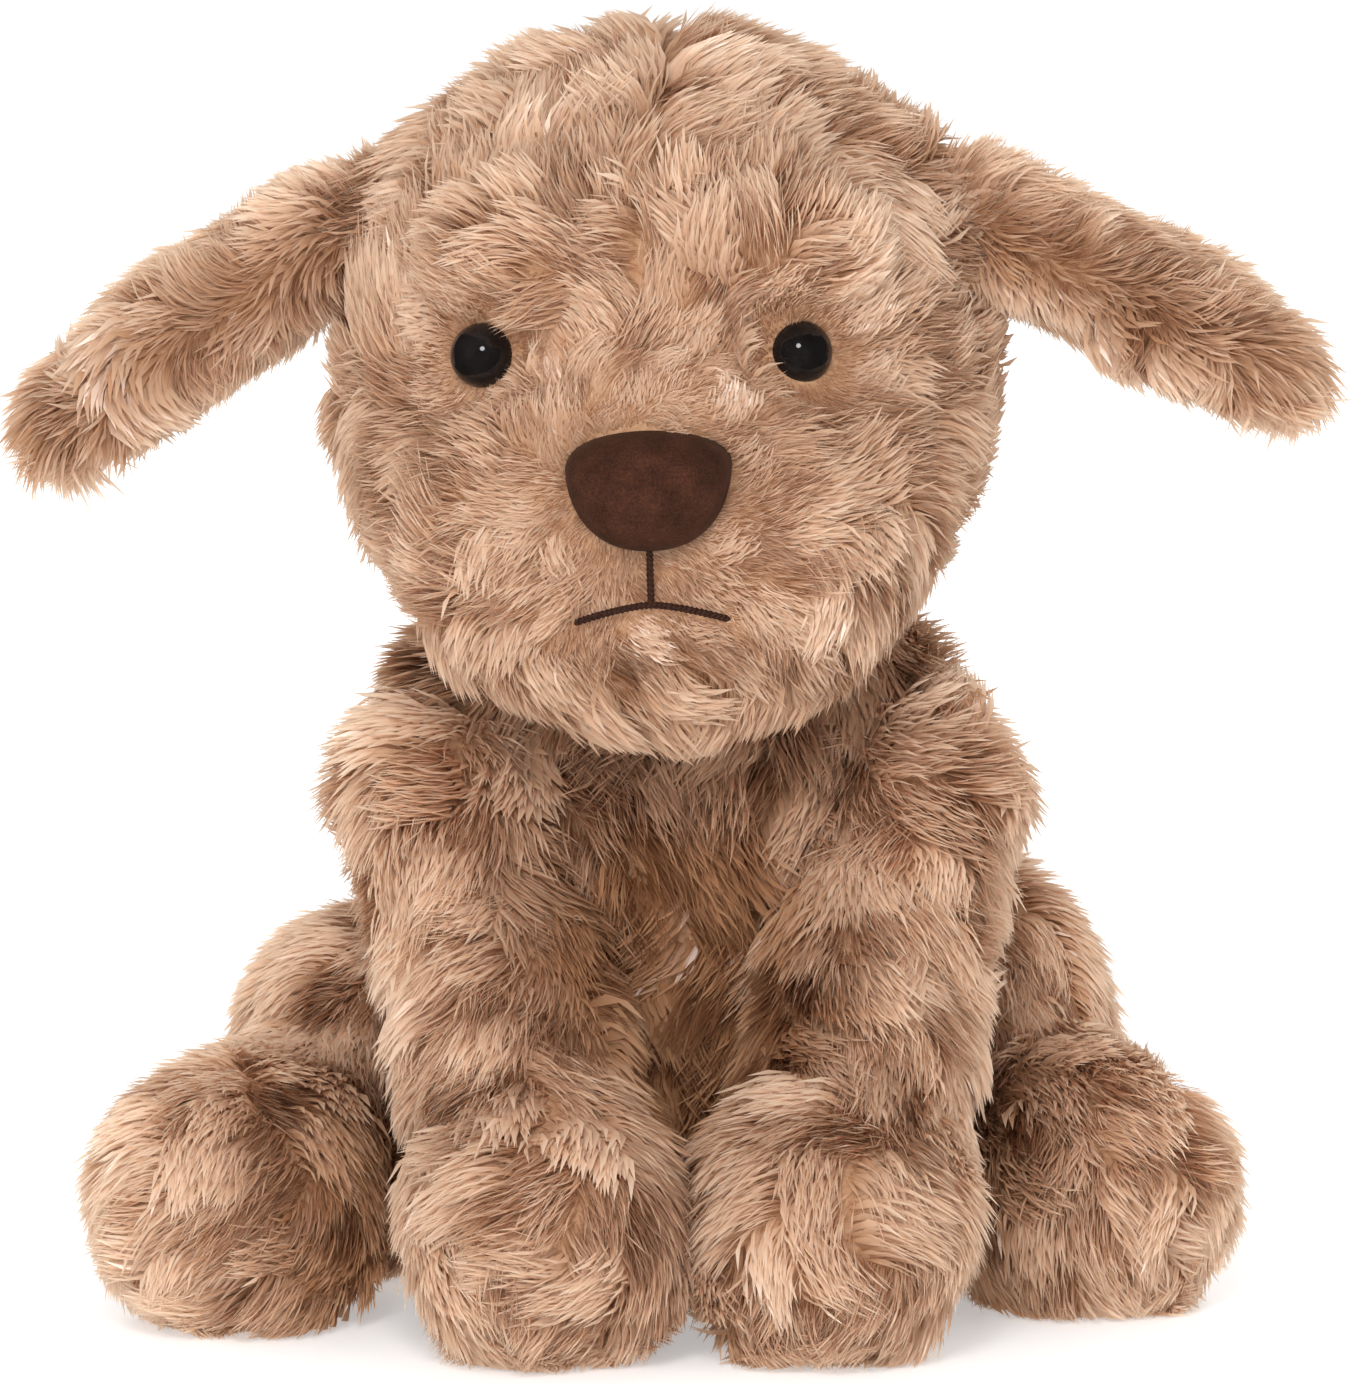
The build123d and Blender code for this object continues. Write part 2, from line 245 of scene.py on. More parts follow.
# ------------------------------------------------------------------ fibres
FIBRE_PIECE = 60000  # fibres in one mesh at most
FIBRE_DENSITY, SPARE = 3.6, 1.6  # fibres sown on a square millimetre, and the spare ones that thinning needs
FIBRE_WIDTH = (0.10, 0.20)  # thinnest and widest blade, in millimetres
LOCK_RADIUS, LOCK_GROWTH = 1.0 * MM, 0.42  # a lock's radius, and the share of its fibres' length added to it
SWIRL_TURN, SWIRL_LENGTH = 0.8, 38 * MM  # how far the combing wanders, in radians, and over what distance
DENSE_LENGTH = 6.2 * MM  # longer pile than this is sown more thinly, as it covers more
HIDDEN_DEPTH, HIDDEN_SHARE, HIDDEN_LENGTH = 3.0 * MM, 0.2, 3.5 * MM  # the pile crushed inside a neighbour


def fibre_mesh(name, p0, p1, p2, out, width, tone):
    """One thin curved blade of three triangles for each fibre."""
    count = len(p0)
    rng = np.random.default_rng(len(name) + count)

    def along(t):
        return p0 * (1 - t) ** 2 + p1 * 2 * t * (1 - t) + p2 * t**2

    way = unit(p2 - p0)
    side = unit(np.cross(way, out))
    roll = rng.normal(0, 0.5, (count, 1))
    side = side * np.cos(roll) + np.cross(side, way) * np.sin(roll)
    w = width[:, None] * side / 2
    points = np.stack([p0 - w, p0 + w, along(0.4) - w, along(0.72) + w * 0.8, p2], axis=1)
    points[..., 2] = np.maximum(points[..., 2], FLOOR_GAP)
    base = np.arange(count)[:, None] * 5
    corners = (base[..., None] + np.array([[0, 1, 2], [1, 3, 2], [2, 3, 4]])).reshape(-1)
    mesh = bpy.data.meshes.new(name)
    mesh.vertices.add(count * 5)
    mesh.vertices.foreach_set("co", points.ravel())
    mesh.loops.add(len(corners))
    mesh.loops.foreach_set("vertex_index", corners.astype(np.int32))
    mesh.polygons.add(count * 3)
    mesh.polygons.foreach_set("loop_start", np.arange(0, len(corners), 3, dtype=np.int32))
    half = 0.5 / 128
    u = np.clip(tone, half, 1 - half)[:, None] + np.array([-half, half, -half, half, 0])
    v = np.broadcast_to(np.array([0, 0, 0.4, 0.72, 1.0]), (count, 5))
    uv = np.stack([u, v], axis=2).reshape(-1, 2)[corners]
    layer = mesh.uv_layers.new(name="OFBake")
    layer.data.foreach_set("uv", uv.astype(np.float32).ravel())
    mesh.update(calc_edges=True)
    mesh.shade_flat()
    return link(name, mesh)


def grow(name, skin, coat, seed, beside):
    """Fibres over a skin, each combed as its lock is; coat gives the way, length, lift, shade and swirl.

    The pile is short and thin where the skin lies inside one of the forms beside it.
    """
    rng = np.random.default_rng(seed)
    faces = surface(skin)
    area = faces[2].sum() / MM**2
    seeds, seed_normals = scattered(faces, int(area * 0.5), rng)
    size = (LOCK_RADIUS + LOCK_GROWTH * coat(seeds, seed_normals)[1]) * rng.uniform(0.75, 1.35, len(seeds))
    kept = spaced(seeds, size)
    seeds, seed_normals = seeds[kept], seed_normals[kept]
    way, length, lift, shade, swirl = coat(seeds, seed_normals)
    locks = len(seeds)
    turn = swirl * (SWIRL_TURN * waves(seeds, SWIRL_LENGTH, seed + 2) + rng.normal(0, 0.34, locks))
    lock_length = rng.uniform(0.85, 1.15, locks)
    lock_lift = 0.10 * waves(seeds, 20 * MM, seed + 3) + rng.normal(0, 0.08, locks)
    lock_shade = 0.06 * waves(seeds, 30 * MM, seed + 4) + rng.normal(0, 0.06, locks)
    lock_bend = rng.normal(0, 0.24, locks)

    roots, normals = scattered(faces, int(area * FIBRE_DENSITY * SPARE), rng)
    hidden = np.zeros(len(roots), bool)
    for form in beside:
        hidden |= form(roots, 0.0) < -HIDDEN_DEPTH
    share = np.clip(DENSE_LENGTH / np.maximum(coat(roots, normals)[1], 1 * MM), 0.5, 1.0)
    share[hidden] = HIDDEN_SHARE
    chosen = rng.random(len(roots)) < share
    roots, normals, hidden = roots[chosen], normals[chosen], hidden[chosen]
    tree = tree_of(seeds)
    jitter = roots + rng.normal(0, 0.9 * MM, roots.shape)
    own = np.array([tree.find(point)[1] for point in jitter])
    way, length, lift, shade, swirl = coat(roots, normals)
    length = np.where(hidden, np.minimum(length, HIDDEN_LENGTH), length)
    keep = length > 0.5 * MM
    longer = (a[keep] for a in (roots, normals, own, way, length, lift, shade))
    roots, normals, own, way, length, lift, shade = longer
    count = len(roots)
    way = unit(way - dot(way, normals) * normals)
    angle = (turn[own] + rng.normal(0, 0.13, count))[:, None]
    way = way * np.cos(angle) + np.cross(normals, way) * np.sin(angle)
    across = np.cross(normals, way)
    length = (length * lock_length[own] * rng.uniform(0.7, 1.05, count))[:, None]
    lift = np.clip(lift + lock_lift[own] + rng.normal(0, 0.09, count), 0.08, 1.3)[:, None]
    off = roots - seeds[own]
    draw = -dot(off, across) * 0.42 * rng.uniform(0.3, 1.3, (count, 1)) * np.clip(length / (6 * MM), 0, 1)
    bend = (lock_bend[own] + rng.normal(0, 0.07, count))[:, None] * length
    p0 = roots - normals * 0.5 * MM
    p2 = roots + length * (np.cos(lift) * way + np.sin(lift) * normals * 0.86) + across * draw
    rise = np.sin(np.minimum(lift * 1.5, 1.5)) * 0.5
    p1 = roots + length * (rise * normals + 0.34 * np.cos(lift) * way) + across * (bend + draw * 0.3)
    width = rng.uniform(*FIBRE_WIDTH, count) * MM
    tone = np.clip(shade + lock_shade[own] + rng.normal(0, 0.09, count), 0, 1)
    order = np.argsort(roots[:, 0], kind="stable")
    pieces = max(1, math.ceil(count / FIBRE_PIECE))
    made = []
    for number, part in enumerate(np.array_split(order, pieces)):
        label = name if pieces == 1 else f"{name}_{number + 1}"
        fibres = (a[part] for a in (p0, p1, p2, normals, width, tone))
        made.append(fibre_mesh(label, *fibres))
    return made


# ------------------------------------------------------------------ materials
def shader(name):
    material = bpy.data.materials.new(name)
    material.use_nodes = True
    tree = material.node_tree
    return material, tree, tree.nodes["Principled BSDF"]


def node(tree, kind, **values):
    made = tree.nodes.new(kind)
    for key, value in values.items():
        if key in made.inputs:
            made.inputs[key].default_value = value
        else:
            setattr(made, key, value)
    return made


def ramp(tree, source, stops):
    made = tree.nodes.new("ShaderNodeValToRGB")
    elements = made.color_ramp.elements
    while len(elements) < len(stops):
        elements.new(0.5)
    for element, (at, colour) in zip(elements, stops):
        element.position, element.color = at, (*colour, 1)
    tree.links.new(source, made.inputs["Fac"])
    return made.outputs["Color"]


def mix(tree, how, amount, a, b):
    made = node(tree, "ShaderNodeMix", data_type="RGBA", blend_type=how)
    for socket, value in ((made.inputs[0], amount), (made.inputs[6], a), (made.inputs[7], b)):
        if isinstance(value, (int, float)):
            socket.default_value = value
        elif isinstance(value, tuple):
            socket.default_value = (*value, 1)
        else:
            tree.links.new(value, socket)
    return made.outputs[2]


def bump(tree, bsdf, height, strength, distance):
    made = node(tree, "ShaderNodeBump", Strength=strength, Distance=distance)
    tree.links.new(height, made.inputs["Height"])
    tree.links.new(made.outputs["Normal"], bsdf.inputs["Normal"])


def fur_material():
    """Silky fibres, browner at the root and paler at the tip, that let some light through; the browner roots
    are partly the fibres' own colour and partly painted shade deep in the pile.
    """
    material, tree, bsdf = shader("fur_fibre")
    place = node(tree, "ShaderNodeUVMap", uv_map="OFBake")
    split = node(tree, "ShaderNodeSeparateXYZ")
    tree.links.new(place.outputs["UV"], split.inputs[0])
    # root-to-tip colours: the browner roots are partly the fibres' own colour and partly painted shade deep
    # in the pile
    deep = [(0.0, (0.35, 0.14, 0.05)), (0.4, (0.48, 0.24, 0.115)), (1.0, (0.62, 0.36, 0.20))]
    pale = [(0.0, (0.68, 0.38, 0.20)), (0.4, (0.85, 0.61, 0.42)), (1.0, (0.95, 0.80, 0.65))]
    dark = ramp(tree, split.outputs["Y"], deep)
    light = ramp(tree, split.outputs["Y"], pale)
    colour = mix(tree, "MIX", split.outputs["X"], dark, light)
    tree.links.new(colour, bsdf.inputs["Base Color"])
    bsdf.inputs["Roughness"].default_value = 0.22
    bsdf.inputs["Specular IOR Level"].default_value = 0.65
    through = node(tree, "ShaderNodeBsdfTranslucent")
    tree.links.new(colour, through.inputs["Color"])
    both = node(tree, "ShaderNodeMixShader", Fac=0.5)
    tree.links.new(bsdf.outputs["BSDF"], both.inputs[1])
    tree.links.new(through.outputs["BSDF"], both.inputs[2])
    tree.links.new(both.outputs["Shader"], tree.nodes["Material Output"].inputs["Surface"])
    return material


def backing_material():
    """The woven backing, with the fibres' brown roots over it; its brown is partly painted shade deep in the
    pile.
    """
    material, tree, bsdf = shader("fur_backing")
    spots = node(tree, "ShaderNodeTexNoise", Scale=900.0, Detail=4.0)
    place = node(tree, "ShaderNodeNewGeometry")
    tree.links.new(place.outputs["Position"], spots.inputs["Vector"])
    # brown that is partly painted shade among the roots
    colour = ramp(tree, spots.outputs["Fac"], [(0.3, (0.36, 0.19, 0.10)), (0.7, (0.48, 0.28, 0.16))])
    tree.links.new(colour, bsdf.inputs["Base Color"])
    bsdf.inputs["Roughness"].default_value = 0.9
    bump(tree, bsdf, spots.outputs["Fac"], 0.6, 0.0006)
    return material


def eye_material():
    material, tree, bsdf = shader("eye_plastic")
    spots = node(tree, "ShaderNodeTexNoise", Scale=260.0, Detail=3.0)
    place = node(tree, "ShaderNodeTexCoord")
    tree.links.new(place.outputs["Object"], spots.inputs["Vector"])
    colour = ramp(tree, spots.outputs["Fac"], [(0.35, (0.006, 0.005, 0.005)), (0.7, (0.013, 0.011, 0.011))])
    tree.links.new(colour, bsdf.inputs["Base Color"])
    bsdf.inputs["Roughness"].default_value = 0.05
    bsdf.inputs["Specular IOR Level"].default_value = 0.3
    return material


def suede_material():
    """Brushed suede cloth: brown, mottled where the nap turns."""
    material, tree, bsdf = shader("nose_suede")
    place = node(tree, "ShaderNodeTexCoord")
    cloud = node(tree, "ShaderNodeTexNoise", Scale=240.0, Detail=5.0, Roughness=0.6)
    nap = node(tree, "ShaderNodeTexNoise", Scale=2600.0, Detail=3.0)
    for noise in (cloud, nap):
        tree.links.new(place.outputs["Object"], noise.inputs["Vector"])
    base = ramp(tree, cloud.outputs["Fac"], [(0.3, (0.034, 0.011, 0.005)), (0.7, (0.070, 0.023, 0.011))])
    fine = ramp(tree, nap.outputs["Fac"], [(0.3, (0.55, 0.55, 0.55)), (0.7, (1.25, 1.2, 1.15))])
    tree.links.new(mix(tree, "MULTIPLY", 1.0, base, fine), bsdf.inputs["Base Color"])
    bsdf.inputs["Roughness"].default_value = 0.85
    bsdf.inputs["Specular IOR Level"].default_value = 0.2
    bsdf.inputs["Sheen Weight"].default_value = 0.06
    bsdf.inputs["Sheen Roughness"].default_value = 0.35
    bsdf.inputs["Sheen Tint"].default_value = (0.75, 0.45, 0.3, 1)
    bump(tree, bsdf, nap.outputs["Fac"], 0.5, 0.0004)
    return material


def thread_material(name, low, high):
    material, tree, bsdf = shader(name)
    place = node(tree, "ShaderNodeTexCoord")
    strands = node(tree, "ShaderNodeTexNoise", Scale=3000.0, Detail=2.0)
    tree.links.new(place.outputs["Object"], strands.inputs["Vector"])
    tree.links.new(ramp(tree, strands.outputs["Fac"], [(0.3, low), (0.7, high)]), bsdf.inputs["Base Color"])
    bsdf.inputs["Roughness"].default_value = 0.65
    bsdf.inputs["Specular IOR Level"].default_value = 0.25
    bump(tree, bsdf, strands.outputs["Fac"], 0.4, 0.0002)
    return material


def speckled_material(name, low, high, scale, roughness, strength):
    """Fibre filling, pouch cloth, pellets and moulded washers."""
    material, tree, bsdf = shader(name)
    place = node(tree, "ShaderNodeTexCoord")
    spots = node(tree, "ShaderNodeTexNoise", Scale=scale, Detail=5.0)
    tree.links.new(place.outputs["Object"], spots.inputs["Vector"])
    tree.links.new(ramp(tree, spots.outputs["Fac"], [(0.3, low), (0.7, high)]), bsdf.inputs["Base Color"])
    bsdf.inputs["Roughness"].default_value = roughness
    bump(tree, bsdf, spots.outputs["Fac"], strength, 0.0005)
    return material


def plain_material(name, colour, roughness):
    material, _, bsdf = shader(name)
    bsdf.inputs["Base Color"].default_value = (*colour, 1)
    bsdf.inputs["Roughness"].default_value = roughness
    return material


# ------------------------------------------------------------------ the coats' combing
def body_coat(way_of, length, lift, shade, swirl):
    """One coat, raised on the shoulders and darker on the front paws, with painted shade low down between
    the front legs and on their inner sides.
    """
    def coat(points, normals):
        count = len(points)
        high = np.clip((points[:, 2] - 76 * MM) / (12 * MM), 0, 1)
        paw = np.clip((-72 * MM - points[:, 1]) / (12 * MM), 0, 1)
        x, y, z = points.T
        low_front_shade = np.clip((90 * MM - z) / (15 * MM), 0, 1) * (y < -20 * MM)
        inner = np.clip(-normals[:, 0] * np.sign(x) * 1.5, 0, 1) + (np.abs(x) < 12 * MM) * (y > -66 * MM)
        # painted shade: darker low down at the front, where the legs face each other and on the belly
        # between them
        tone = shade - 0.12 * paw - 0.75 * low_front_shade * np.clip(inner, 0, 1) * (1 - paw)
        return way_of(points), length * MM + 1.5 * MM * high, lift + 0.25 * high, tone, np.full(count, swirl)

    return coat


def down_and_out(points):
    out = points * np.array([1.0, 1.0, 0.0])
    return unit(out) * 0.35 + np.array([0, 0, -1.0])


NOSE_POINT = np.array([0.0, -86.0, 146.0]) * MM


def eye_seat(sign):
    """The middle of an eye's flange and the way that the eye looks, before the head is turned."""
    axis = unit(np.array([sign * 0.36, -0.93, 0.05]))
    seat = np.array([sign * 26.0, -65.1, 161.8]) * MM
    seat[0] -= {1: 2.2, -1: 0.9}[sign] * MM
    seat[2] += {1: -0.7, -1: 0.0}[sign] * MM
    return seat, axis


def head_coat(points, normals):
    """Combed away from the nose and from a parting on the forehead; short round the eyes, nose and mouth.
    Painted shade darkens a ring round each eye and the underside of the chin.
    """
    p = turned_head(points, inverse=True)
    way = unit(p - NOSE_POINT)
    brow = np.clip((p[:, 2] - 164 * MM) / (14 * MM), 0, 1)
    way[:, 0] += np.sign(p[:, 0]) * 0.9 * brow
    way[:, 2] -= 0.7 * np.clip((150 * MM - p[:, 2]) / (20 * MM), 0, 1)
    count = len(p)
    crown = np.clip((p[:, 2] - 185 * MM) / (15 * MM), 0, 1)
    length = 10.5 * MM + 1.5 * MM * crown
    lift = 0.42 + 0.2 * crown
    swirl = np.full(count, 1.0)
    from_nose = np.linalg.norm(p - NOSE_POINT, axis=1)
    length = np.minimum(length, 3.4 * MM + np.maximum(from_nose - 13 * MM, 0) * 0.3)
    front = p[:, 1] < -68 * MM
    over_eye, dark = np.zeros(count), np.zeros(count)
    for _, sign in SIDES:
        seat, axis = eye_seat(sign)
        off = p - seat
        off = off - (off @ axis)[:, None] * axis
        near = np.linalg.norm(off, axis=1) + np.where(p[:, 1] > -35 * MM, 1.0, 0.0)
        length = np.minimum(length, 2.4 * MM + np.maximum(near - 5.5 * MM, 0) * 0.75)
        pull = np.clip(1 - (near - 5 * MM) / (9 * MM), 0, 1)[:, None]
        way = way * (1 - pull) + unit(off) * pull
        lift = np.where(near < 11 * MM, 0.45, lift)
        swirl = np.where(near < 14 * MM, 0.3, swirl)
        length = np.where(near < 4.3 * MM, 0, length)
        # painted shade: a darker ring round each eye, in its socket
        dark = np.maximum(dark, np.exp(-(((near - 5 * MM) / (2.5 * MM)) ** 2)))
        over_eye = np.maximum(over_eye, np.exp(-np.sum(((off - [0, 0, 12 * MM]) / (8 * MM)) ** 2, axis=1)))
    lift = lift + 0.35 * over_eye
    nose = ((p[:, 0] / (12.2 * MM)) ** 2 + ((p[:, 2] - NOSE_Z) / (8.4 * MM)) ** 2 < 1) & front
    length = np.where(nose, 0, length)
    to_mouth = mouth_distance(p)
    length = np.where(front, np.minimum(length, 2.6 * MM + np.maximum(to_mouth - 1.0 * MM, 0) * 0.7), length)
    lift = np.where(front & (to_mouth < 2.5 * MM), 0.35, lift)
    shade = 0.68 + 0.09 * np.clip((p[:, 2] - 150 * MM) / (40 * MM), 0, 1) - 0.35 * dark
    # painted shade: darker under the chin
    shade -= 0.28 * np.clip((122 * MM - p[:, 2]) / (12 * MM), 0, 1)
    return turned_ways(way), length, lift, shade, swirl


def turned_ways(way):
    """Head directions, turned as the head is."""
    return unit(turned_head(way + NECK) - NECK)


def mouth_distance(p):
    """How far a head point is from the mouth's lines, seen from the front."""
    side = np.abs(p[:, 0])
    arc = MOUTH_Z - 1.0 * MM - 2.8 * MM * np.clip(side / (12.2 * MM), 0, 1) ** 1.5
    lips = np.hypot(np.maximum(side - 12.2 * MM, 0), p[:, 2] - arc)
    stem = np.hypot(side, np.maximum(MOUTH_Z - p[:, 2], 0) + np.maximum(p[:, 2] - NOSE_Z, 0))
    return np.minimum(lips, stem)


# ------------------------------------------------------------------ the parts
def head_forms():
    forms = [blob((0, -23, 157), (52, 52, 51.5)), limb((15, -58, 132), 29.5, (-15, -58, 132), 29.5),
             blob((0, -70, 152), (17, 16, 14)), blob((0, -64, 120), (29, 22, 22))]
    for _, sign in SIDES:
        forms.append(blob((sign * 20, -42, 141), 30))
        forms.append(blob((sign * 19, -57, 176), (19, 17.5, 14)))
        forms.append(blob((sign * 12.5 - 0.6, -24, 150), 41.5))
        forms.append(limb((sign * 30, -22, 179.5), 14.5, (sign * 49, -22, 176), 12))
    return forms


def torso_forms():
    shoulders = [limb((0, -18, 101), 22, (sign * 33, -23, 97), 14) for _, sign in SIDES]
    return [limb((0, 0, 40), 47, (0, -22, 99), 26), blob((0, -20, 80), (38, 32, 28)), *shoulders]


def front_leg_forms(sign):
    leg = limb((sign * 36, -30, 82), 21, (sign * 24, -70, 27), 20)
    sole = limb((sign * 12, -77, 11), 9.5, (sign * 28, -77, 11), 9.5)
    return [leg, blob((sign * 23, -78, 22.8), (23, 23.5, 22.6)), sole]


def hind_leg_forms(side, sign):
    paw = {"left": (66.5, -38, 21.0), "right": (-72.5, -47, 21.5)}[side]
    thigh = limb((sign * 48, -7, 25), 26, (sign * 47, -7, {"left": 45, "right": 39}[side]), 25)
    sole = limb((paw[0] - sign * 11, paw[1], 11), 10, (paw[0] + sign * 3, paw[1], 11), 10)
    return [thigh, limb((sign * 48, -7, 30), 20, paw, 21), blob(paw, (22, 22, 21.5)), sole]


def all_forms():
    """The forms of the parts that lie against each other, where they are in the stored pose."""
    yield "torso", torso_forms()
    for side, sign in SIDES:
        yield f"front_leg_{side}", front_leg_forms(sign)
        yield f"hind_leg_{side}", hind_leg_forms(side, sign)


def dressed(name, body, forms, nodes, coat, seed, round_over=5.0, inset=SKIN_INSET, voxel=1.6, place=None,
            floor=2.5 * MM):
    """A padded skin that stands for its CAD panels, and its coat of fibres."""
    skin = skin_mesh(f"{name}_skin", forms, round_over, inset, voxel, place, floor)
    skin.data.materials.append(MATERIALS["backing"])
    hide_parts(*nodes)
    beside = [form for other, others in all_forms() if other != name for form in others]
    fur = grow(f"{name}_fur", skin, coat, seed, beside)
    for piece in fur:
        piece.data.materials.append(MATERIALS["fur"])
    for piece in (skin, *fur):
        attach(piece, body)


def ear_place(side, sign):
    """Turns ear points from lying flat along X to the ear's place on the head."""
    droop = math.radians(EAR_DROOPS[side])
    root = np.array(EAR_ROOTS[side]) * MM

    def place(p):
        p = p.copy()
        s = np.maximum(p[:, 0], 0)
        p[:, 2] -= EAR_CURVE * s**2
        x = p[:, 0] * math.cos(droop) + p[:, 2] * math.sin(droop)
        z = -p[:, 0] * math.sin(droop) + p[:, 2] * math.cos(droop)
        return turned_head(np.stack([x * sign, p[:, 1] * sign, z], axis=1) + root)

    return place


def build_ear(side, sign, seed):
    sizes = ((2, (14, 12, 10)), (18, (24, 15, 10.5)), (36, (22, 18, 10.5)))
    forms = [blob((x, 0, 0), radii) for x, radii in sizes]
    place = ear_place(side, sign)
    near, far, above = place(np.array([[0.0, 0, 0], [60.0, 0, 0], [0.0, 0, 10.0]]) * MM)
    along, up = unit(far - near), unit(above - near)

    def coat(points, normals):
        """Combed outward, up from the seam round the ear's edge on its upper face and down below it."""
        count = len(points)
        height = (points - near) @ up
        away = np.clip(height / (4 * MM), -1, 1)[:, None]
        reach = (points - near) @ along
        way = along * (0.4 + 0.8 * np.clip((reach - 44 * MM) / (8 * MM), 0, 1))[:, None] + up * away
        length = 9.5 * MM + 4.5 * MM * np.clip((reach - 40 * MM) / (12 * MM), 0, 1)
        # painted shade: darker along the seam round the ear's edge, where the pile parts
        shade = 0.92 - 0.6 * np.exp(-((height / (2.5 * MM)) ** 2))
        return (way, length, np.full(count, 0.5), shade, np.full(count, 0.6))

    layers = [f"ear_{side}_upper_layer", f"ear_{side}_lower_layer"]
    dressed(f"ear_{side}", f"ear_{side}", forms, layers, coat, seed,
            round_over=2.0, inset=3.5 * MM, voxel=1.0, place=place, floor=None)


def build_fur_parts():
    # the torso's coat takes a darker tone than the legs'; this is partly painted shade on the chest under
    # the head
    dressed("torso", "torso", torso_forms(), ["torso_left_panel", "torso_right_panel", "seat_panel"],
            body_coat(down_and_out, 11.5, 0.42, 0.38, 1.0), 11)
    head_panels = ["head_left_panel", "head_right_panel", "chin_panel"]
    dressed("head", "head", head_forms(), head_panels, head_coat, 23,
            round_over=4.0, place=turned_head, floor=None)
    for side, sign in SIDES:
        build_ear(side, sign, 31 + sign)

        def front_way(p, sign=sign):
            out = p - np.array([sign * 26, -60, 60]) * MM
            return unit(out * np.array([1, 1, 0.0])) * 0.5 + np.array([0, -0.3, -1.0])

        def hind_way(p, sign=sign):
            return np.tile([sign * 0.55, -0.45, -0.7], (len(p), 1))

        dressed(f"front_leg_{side}", f"front_leg_{side}", front_leg_forms(sign),
                [f"front_leg_{side}_outer_panel", f"front_leg_{side}_inner_panel"],
                body_coat(front_way, 11.0, 0.42, 0.84, 1.0), 41 + sign)
        dressed(f"hind_leg_{side}", f"hind_leg_{side}", hind_leg_forms(side, sign),
                [f"hind_leg_{side}_outer_panel", f"hind_leg_{side}_inner_panel"],
                body_coat(hind_way, 10.0, 0.42, 0.9, 1.0), 51 + sign)
    tail = [limb((0, 46, 24), 10.5, (0, 70, 30), 9.5)]
    tail_coat = body_coat(lambda p: np.tile([0, 1.0, 0.1], (len(p), 1)), 9.0, 0.6, 0.45, 0.5)
    dressed("tail", "tail", tail, ["tail_panel"], tail_coat, 61, round_over=1.0, inset=4.0 * MM, voxel=1.0)


# ------------------------------------------------------------------ eyes, nose, mouth
def lathe(name, profile, segments=72):
    """A mesh turned about Z from (radius, height) points."""
    form = bmesh.new()
    rings = []
    for radius, height in profile:
        if radius < 1e-7:
            rings.append([form.verts.new((0, 0, height))])
            continue
        turns = [2 * math.pi * i / segments for i in range(segments)]
        rings.append([form.verts.new((radius * math.cos(t), radius * math.sin(t), height)) for t in turns])
    for low, high in zip(rings, rings[1:]):
        for i in range(segments):
            j = (i + 1) % segments
            quad = [low[i % len(low)], low[j % len(low)], high[j % len(high)], high[i % len(high)]]
            form.faces.new(list(dict.fromkeys(quad)))
    mesh = bpy.data.meshes.new(name)
    bmesh.ops.recalc_face_normals(form, faces=form.faces)
    form.to_mesh(mesh)
    form.free()
    mesh.polygons.foreach_set("use_smooth", np.ones(len(mesh.polygons), bool))
    return link(name, mesh)


def build_eyes():
    for side, sign in SIDES:
        turns = np.linspace(math.pi / 2, 0.0, 24)
        profile = [(EYE_R * math.cos(t), 5.2 * MM * math.sin(t)) for t in turns]
        profile += [(EYE_R, -0.35 * MM), (EYE_R - 0.25 * MM, -0.6 * MM), (1.6 * MM, -0.6 * MM)]
        ridges = [1.6 if i % 2 else 1.35 for i in range(16)]
        profile += [(r * MM, -(0.9 + 0.75 * i) * MM) for i, r in enumerate(ridges)]
        profile += [(0.9 * MM, -13.0 * MM), (0.0, -13.0 * MM)]
        eye = lathe(f"eye_{side}_dome", profile)
        seat, axis = eye_seat(sign)
        seat, ahead = turned_head(seat), unit(turned_head(seat + axis) - turned_head(seat))
        stand = Vector(ahead).to_track_quat("Z", "Y").to_matrix().to_4x4()
        eye.data.transform(Matrix.Translation(seat) @ stand)
        eye.data.materials.append(MATERIALS["eye"])
        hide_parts(f"eye_{side}")
        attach(eye, "head")


def nose_pad(name, size, back, material, node_name):
    """A soft pad like a rounded shield, widest above its middle, whose edge turns back."""
    rings, segments = 30, 144
    turns = 2 * math.pi * np.arange(segments) / segments
    c, s = np.cos(turns), np.sin(turns)
    edge_x = np.sign(c) * np.abs(c) ** np.where(s > 0, 1.05, 0.85) * 13.2 * MM * size
    edge_z = (0.4 + np.where(s > 0, 0.6, 1.4) * s) * 9.5 * MM * size
    middle = NOSE_Z - NOSE_DROP
    form = bmesh.new()
    layers = []
    for reach in np.sin(np.linspace(0.04, 1.0, rings) * math.pi / 2):
        depth = math.sqrt(max(1 - reach**2.6, 0)) * 10.5 * MM
        y = -83.0 * MM + back - depth + 1.2 * MM * np.maximum(s * reach, 0) ** 2
        places = np.stack([edge_x * reach, y, middle + edge_z * reach], axis=1)
        layers.append([form.verts.new(place) for place in turned_head(places)])
    rim = np.stack([edge_x, np.full(segments, -77.0 * MM), middle + edge_z], axis=1)
    layers.append([form.verts.new(place) for place in turned_head(rim)])
    for low, high in zip(layers, layers[1:]):
        for i in range(segments):
            j = (i + 1) % segments
            form.faces.new((low[i], low[j], high[j], high[i]))
    form.faces.new(layers[0])
    form.faces.new(layers[-1])
    bmesh.ops.recalc_face_normals(form, faces=form.faces)
    mesh = bpy.data.meshes.new(name)
    form.to_mesh(mesh)
    form.free()
    mesh.polygons.foreach_set("use_smooth", np.ones(len(mesh.polygons), bool))
    pad = link(name, mesh)
    pad.data.materials.append(MATERIALS[material])
    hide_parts(node_name)
    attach(pad, "head")


def build_nose():
    nose_pad("nose_patch", 1.0, 0.0, "suede", "nose_cover")
    nose_pad("nose_stuffing", 0.86, 1.6 * MM, "filling", "nose_padding")


